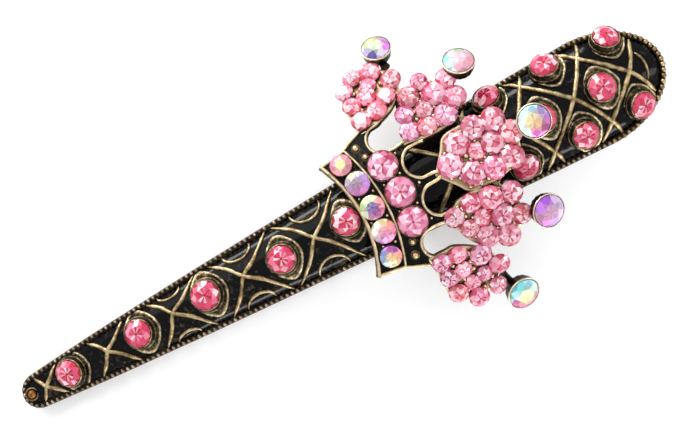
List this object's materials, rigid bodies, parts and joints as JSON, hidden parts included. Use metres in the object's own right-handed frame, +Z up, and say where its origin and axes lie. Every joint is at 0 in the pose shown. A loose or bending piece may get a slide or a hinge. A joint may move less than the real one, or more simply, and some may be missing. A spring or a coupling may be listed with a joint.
{
  "type": "hair clip",
  "caption": "Beak hair clip with a long domed, enamelled casting set with rose stones, a stone-set crown ornament across it, and a sprung toothed steel lower jaw",
  "frame": {"origin": "on the flat underside of the lower arm, straight below the hinge axis", "axes": "+X from the narrow tip to the wide press end, +Y across the clip along the hinge pin, +Z up through the domed casting"},
  "size_m": [0.11, 0.0471, 0.0215],
  "materials": {
    "antique_bronze": "antiqued: worn pale-gold high points, dark brown patina in the recesses",
    "finding_steel": "steel strip with a thin antique-bronze plating, satin",
    "spring_steel": "bright spring wire",
    "copper": "polished copper-coloured stud",
    "black_enamel": "glossy black cold enamel",
    "rose_glass": "foiled cut glass, deep rose",
    "pale_rose_glass": "foiled cut glass, pale rose",
    "aurora_glass": "foiled cut glass with an iridescent coating"
  },
  "bodies": {
    "lower_jaw": {"lower_arm": "finding_steel", "hinge_pin": "finding_steel", "torsion_spring": "spring_steel"},
    "upper_jaw": {"upper_arm": "finding_steel", "arm_posts": "antique_bronze", "body_casting": "antique_bronze", "body_lattice": "antique_bronze", "body_enamel": "black_enamel", "taper_stone_cups": "antique_bronze", "press_stone_cups": "antique_bronze", "tip_cup": "antique_bronze", "tip_stud": "copper", "taper_stone_1": "rose_glass", "taper_stone_2": "rose_glass", "taper_stone_3": "rose_glass", "taper_stone_4": "rose_glass", "taper_stone_5": "rose_glass", "press_centre_stones": "rose_glass", "press_side_stones": "rose_glass", "crown_plate": "antique_bronze", "crown_trim": "antique_bronze", "crown_balls": "antique_bronze", "petal_plates": "antique_bronze", "petal_struts": "antique_bronze", "point_cups": "antique_bronze", "crown_enamel": "black_enamel", "crown_posts": "antique_bronze", "band_stones": "aurora_glass", "crown_heart_stones": "pale_rose_glass", "petal_1_stones": "pale_rose_glass", "petal_2_stones": "pale_rose_glass", "petal_3_stones": "pale_rose_glass", "petal_4_stones": "pale_rose_glass", "petal_5_stones": "pale_rose_glass", "point_stone_1": "aurora_glass", "point_stone_2": "aurora_glass", "point_stone_3": "aurora_glass", "point_stone_4": "aurora_glass", "point_stone_5": "aurora_glass"}
  },
  "joints": [
    {"name": "jaw_hinge", "type": "hinge", "parent": "lower_jaw", "child": "upper_jaw", "pos_m": [0, 0, 0.0052], "axis": [0, 1, 0], "range_deg": [0, 13], "stiffness_Nm_per_rad": 0.25, "springref_deg": -34.38, "deforming": ["torsion_spring"]}
  ]
}
